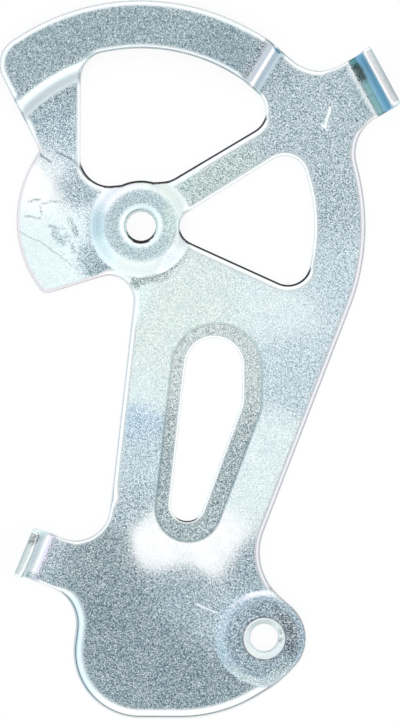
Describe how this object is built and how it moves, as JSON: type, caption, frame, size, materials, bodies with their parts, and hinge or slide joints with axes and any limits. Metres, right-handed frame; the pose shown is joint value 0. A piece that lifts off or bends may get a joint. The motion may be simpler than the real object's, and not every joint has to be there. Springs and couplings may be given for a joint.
{
  "type": "derailleur cage plate",
  "caption": "Stamped steel cage plate for a rear derailleur: arched guide rail, spoked hub boss, slotted arm, tapped pulley boss and folded side tabs.",
  "frame": {"origin": "centre of the hub bore at the back face the plate lies on", "axes": "+Z along the hub bore from the back face to the boss side, +Y away from the pulley boss, +X towards the upper tab"},
  "size_m": [0.0691, 0.1249, 0.008],
  "materials": {
    "zinc_steel": "bright blue-passivated zinc, fine grain on the flats and smooth on the bends"
  },
  "bodies": {
    "root": {"cage_plate": "zinc_steel"}
  },
  "joints": []
}
